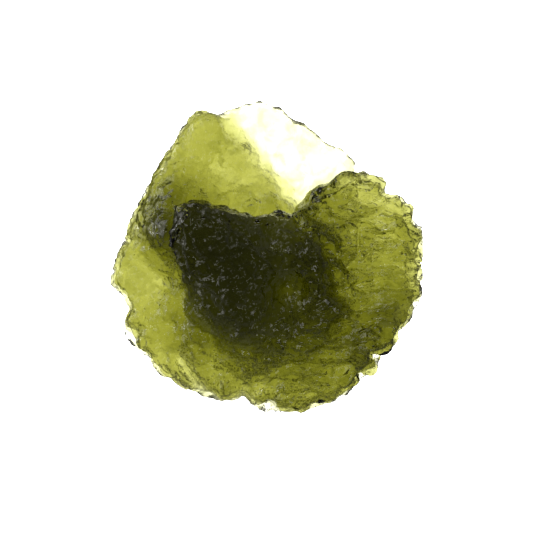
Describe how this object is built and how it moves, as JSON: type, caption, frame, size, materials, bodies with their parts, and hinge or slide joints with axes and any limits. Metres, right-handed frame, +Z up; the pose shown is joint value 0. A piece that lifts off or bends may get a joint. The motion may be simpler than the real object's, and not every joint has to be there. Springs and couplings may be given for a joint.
{
  "type": "moldavite",
  "caption": "Natural tektite: a translucent olive-green glass stone, etched all over, with a thick ledged front mass on a thin back leaf, lying on a small flat spot.",
  "frame": {"origin": "on the surface that the stone lies on, under the middle of its outline", "axes": "+Z up, across the stone's thickness; +X to the right and +Y to the top of the outline as it is seen from above"},
  "size_m": [0.0318, 0.032, 0.0133],
  "materials": {
    "olive_glass": "translucent olive-green natural glass with a glossy, finely pitted and ridged etched skin"
  },
  "bodies": {
    "root": {"moldavite": "olive_glass"}
  },
  "joints": []
}
